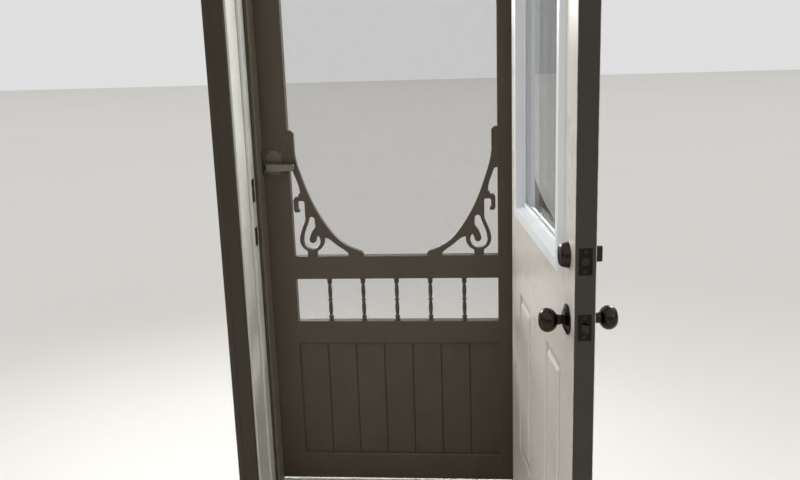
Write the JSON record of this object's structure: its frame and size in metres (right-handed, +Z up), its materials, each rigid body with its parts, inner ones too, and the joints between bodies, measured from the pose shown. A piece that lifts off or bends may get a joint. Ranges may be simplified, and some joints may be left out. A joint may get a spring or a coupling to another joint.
{
  "type": "entrance doorway with wooden screen door and half glazed inner door",
  "caption": "Doorway frame with a wooden screen door that has scroll brackets, spindles and boarding, and a half glazed white inner door standing open.",
  "frame": {"origin": "middle of the sill's underside, halfway through the depth of the frame", "axes": "+X to the hinge side as seen from the room, +Y from the room to the outside, +Z up"},
  "size_m": [1.0354, 1.0171, 2.158],
  "materials": {
    "white_paint": "satin",
    "casing_paint": "satin",
    "sill_paint": "satin",
    "threshold_metal": "satin",
    "seal_foam": "matte",
    "sweep_vinyl": "matte",
    "dark_nickel": "satin",
    "door_white": "semi-gloss",
    "lite_white": "semi-gloss",
    "core_foam": "matte",
    "core_timber": "matte",
    "clear_glass": "gloss",
    "spacer_metal": "satin",
    "screen_paint": "satin",
    "screen_cloth": "matte",
    "latch_grey": "satin"
  },
  "bodies": {
    "frame": {"strike_jamb": "white_paint", "hinge_jamb": "white_paint", "head_jamb": "white_paint", "sill": "sill_paint", "threshold": "threshold_metal", "side_linings": "white_paint", "head_lining": "white_paint", "strike_casing": "casing_paint", "hinge_casing": "casing_paint", "head_casing": "casing_paint", "brickmould": "casing_paint", "weatherstrip": "seal_foam", "latch_strike": "dark_nickel", "deadbolt_strike": "dark_nickel", "strike_screws": "dark_nickel", "screen_keeper": "latch_grey", "frame_hinge_leaves": "dark_nickel", "hinge_pins": "dark_nickel"},
    "inner_door": {"exterior_skin": "door_white", "interior_skin": "door_white", "foam_core": "core_foam", "hinge_edge_stile": "core_timber", "lock_edge_stile": "core_timber", "edge_rails": "core_timber", "lock_block": "core_timber", "exterior_lite_frame": "lite_white", "interior_lite_frame": "lite_white", "glass_panes": "clear_glass", "glazing_spacer": "spacer_metal", "door_sweep": "sweep_vinyl", "latch_case": "dark_nickel", "deadbolt_case": "dark_nickel", "faceplate_screws": "dark_nickel", "door_hinge_leaves": "dark_nickel", "knob_roses": "dark_nickel", "deadbolt_collar": "dark_nickel", "deadbolt_rose": "dark_nickel"},
    "knob_set": {"exterior_knob": "dark_nickel", "interior_knob": "dark_nickel"},
    "latch_bolt": {"latch_bolt": "dark_nickel"},
    "key_plug": {"key_plug": "dark_nickel"},
    "thumbturn": {"thumbturn": "dark_nickel"},
    "deadbolt": {"deadbolt_bolt": "dark_nickel"},
    "screen_door": {"screen_latch_stile": "screen_paint", "screen_hinge_stile": "screen_paint", "screen_top_rail": "screen_paint", "screen_mid_rail": "screen_paint", "screen_low_rail": "screen_paint", "screen_bottom_rail": "screen_paint", "panel_boards": "screen_paint", "spindles": "screen_paint", "left_bracket": "screen_paint", "right_bracket": "screen_paint", "insect_screen": "screen_cloth", "screen_beads": "screen_paint", "screen_door_leaves": "dark_nickel", "screen_latch_case": "latch_grey", "outer_pull": "latch_grey"},
    "screen_lever": {"screen_lever": "latch_grey"},
    "screen_latch_nose": {"screen_latch_nose": "latch_grey"}
  },
  "joints": [
    {"name": "inner_door_hinge", "type": "hinge", "parent": "frame", "child": "inner_door", "pos_m": [0.408, -0.065, 1.068], "axis": [0, 0, 1], "range_deg": [-97, 1.5]},
    {"name": "knob_turn", "type": "hinge", "parent": "inner_door", "child": "knob_set", "pos_m": [0.47092, -0.81744, 0.883], "axis": [-0.9925, -0.1219, 0], "range_deg": [0, 60], "stiffness_Nm_per_rad": 0.5},
    {"name": "latch_slide", "type": "slide", "parent": "inner_door", "child": "latch_bolt", "axis": [-0.1219, 0.9925, 0], "range_m": [0, 0.0127]},
    {"name": "key_turn", "type": "hinge", "parent": "inner_door", "child": "key_plug", "pos_m": [0.44883, -0.82015, 1.023], "axis": [-0.9925, -0.1219, 0], "range_deg": [0, 90]},
    {"name": "thumbturn_turn", "type": "hinge", "parent": "inner_door", "child": "thumbturn", "pos_m": [0.493, -0.81473, 1.023], "axis": [-0.9925, -0.1219, 0], "range_deg": [0, 90]},
    {"name": "deadbolt_slide", "type": "slide", "parent": "inner_door", "child": "deadbolt", "axis": [0.1219, -0.9925, 0], "range_m": [0, 0.0254]},
    {"name": "screen_door_hinge", "type": "hinge", "parent": "frame", "child": "screen_door", "pos_m": [0.4065, 0.0955, 1.05833], "axis": [0, 0, -1], "range_deg": [0, 100]},
    {"name": "lever_turn", "type": "hinge", "parent": "screen_door", "child": "screen_lever", "pos_m": [-0.371, 0.0428, 1.07916], "axis": [0, 1, 0], "range_deg": [0, 25], "stiffness_Nm_per_rad": 0.8, "springref_deg": -8.59},
    {"name": "nose_slide", "type": "slide", "parent": "screen_door", "child": "screen_latch_nose", "axis": [1, 0, 0], "range_m": [0, 0.006]}
  ],
  "couplings": [
    {"joint": "latch_slide", "follows": "knob_turn", "m_per_rad": 0.012127},
    {"joint": "deadbolt_slide", "follows": "thumbturn_turn", "m_per_rad": 0.01617},
    {"joint": "nose_slide", "follows": "lever_turn", "m_per_rad": 0.01375}
  ]
}
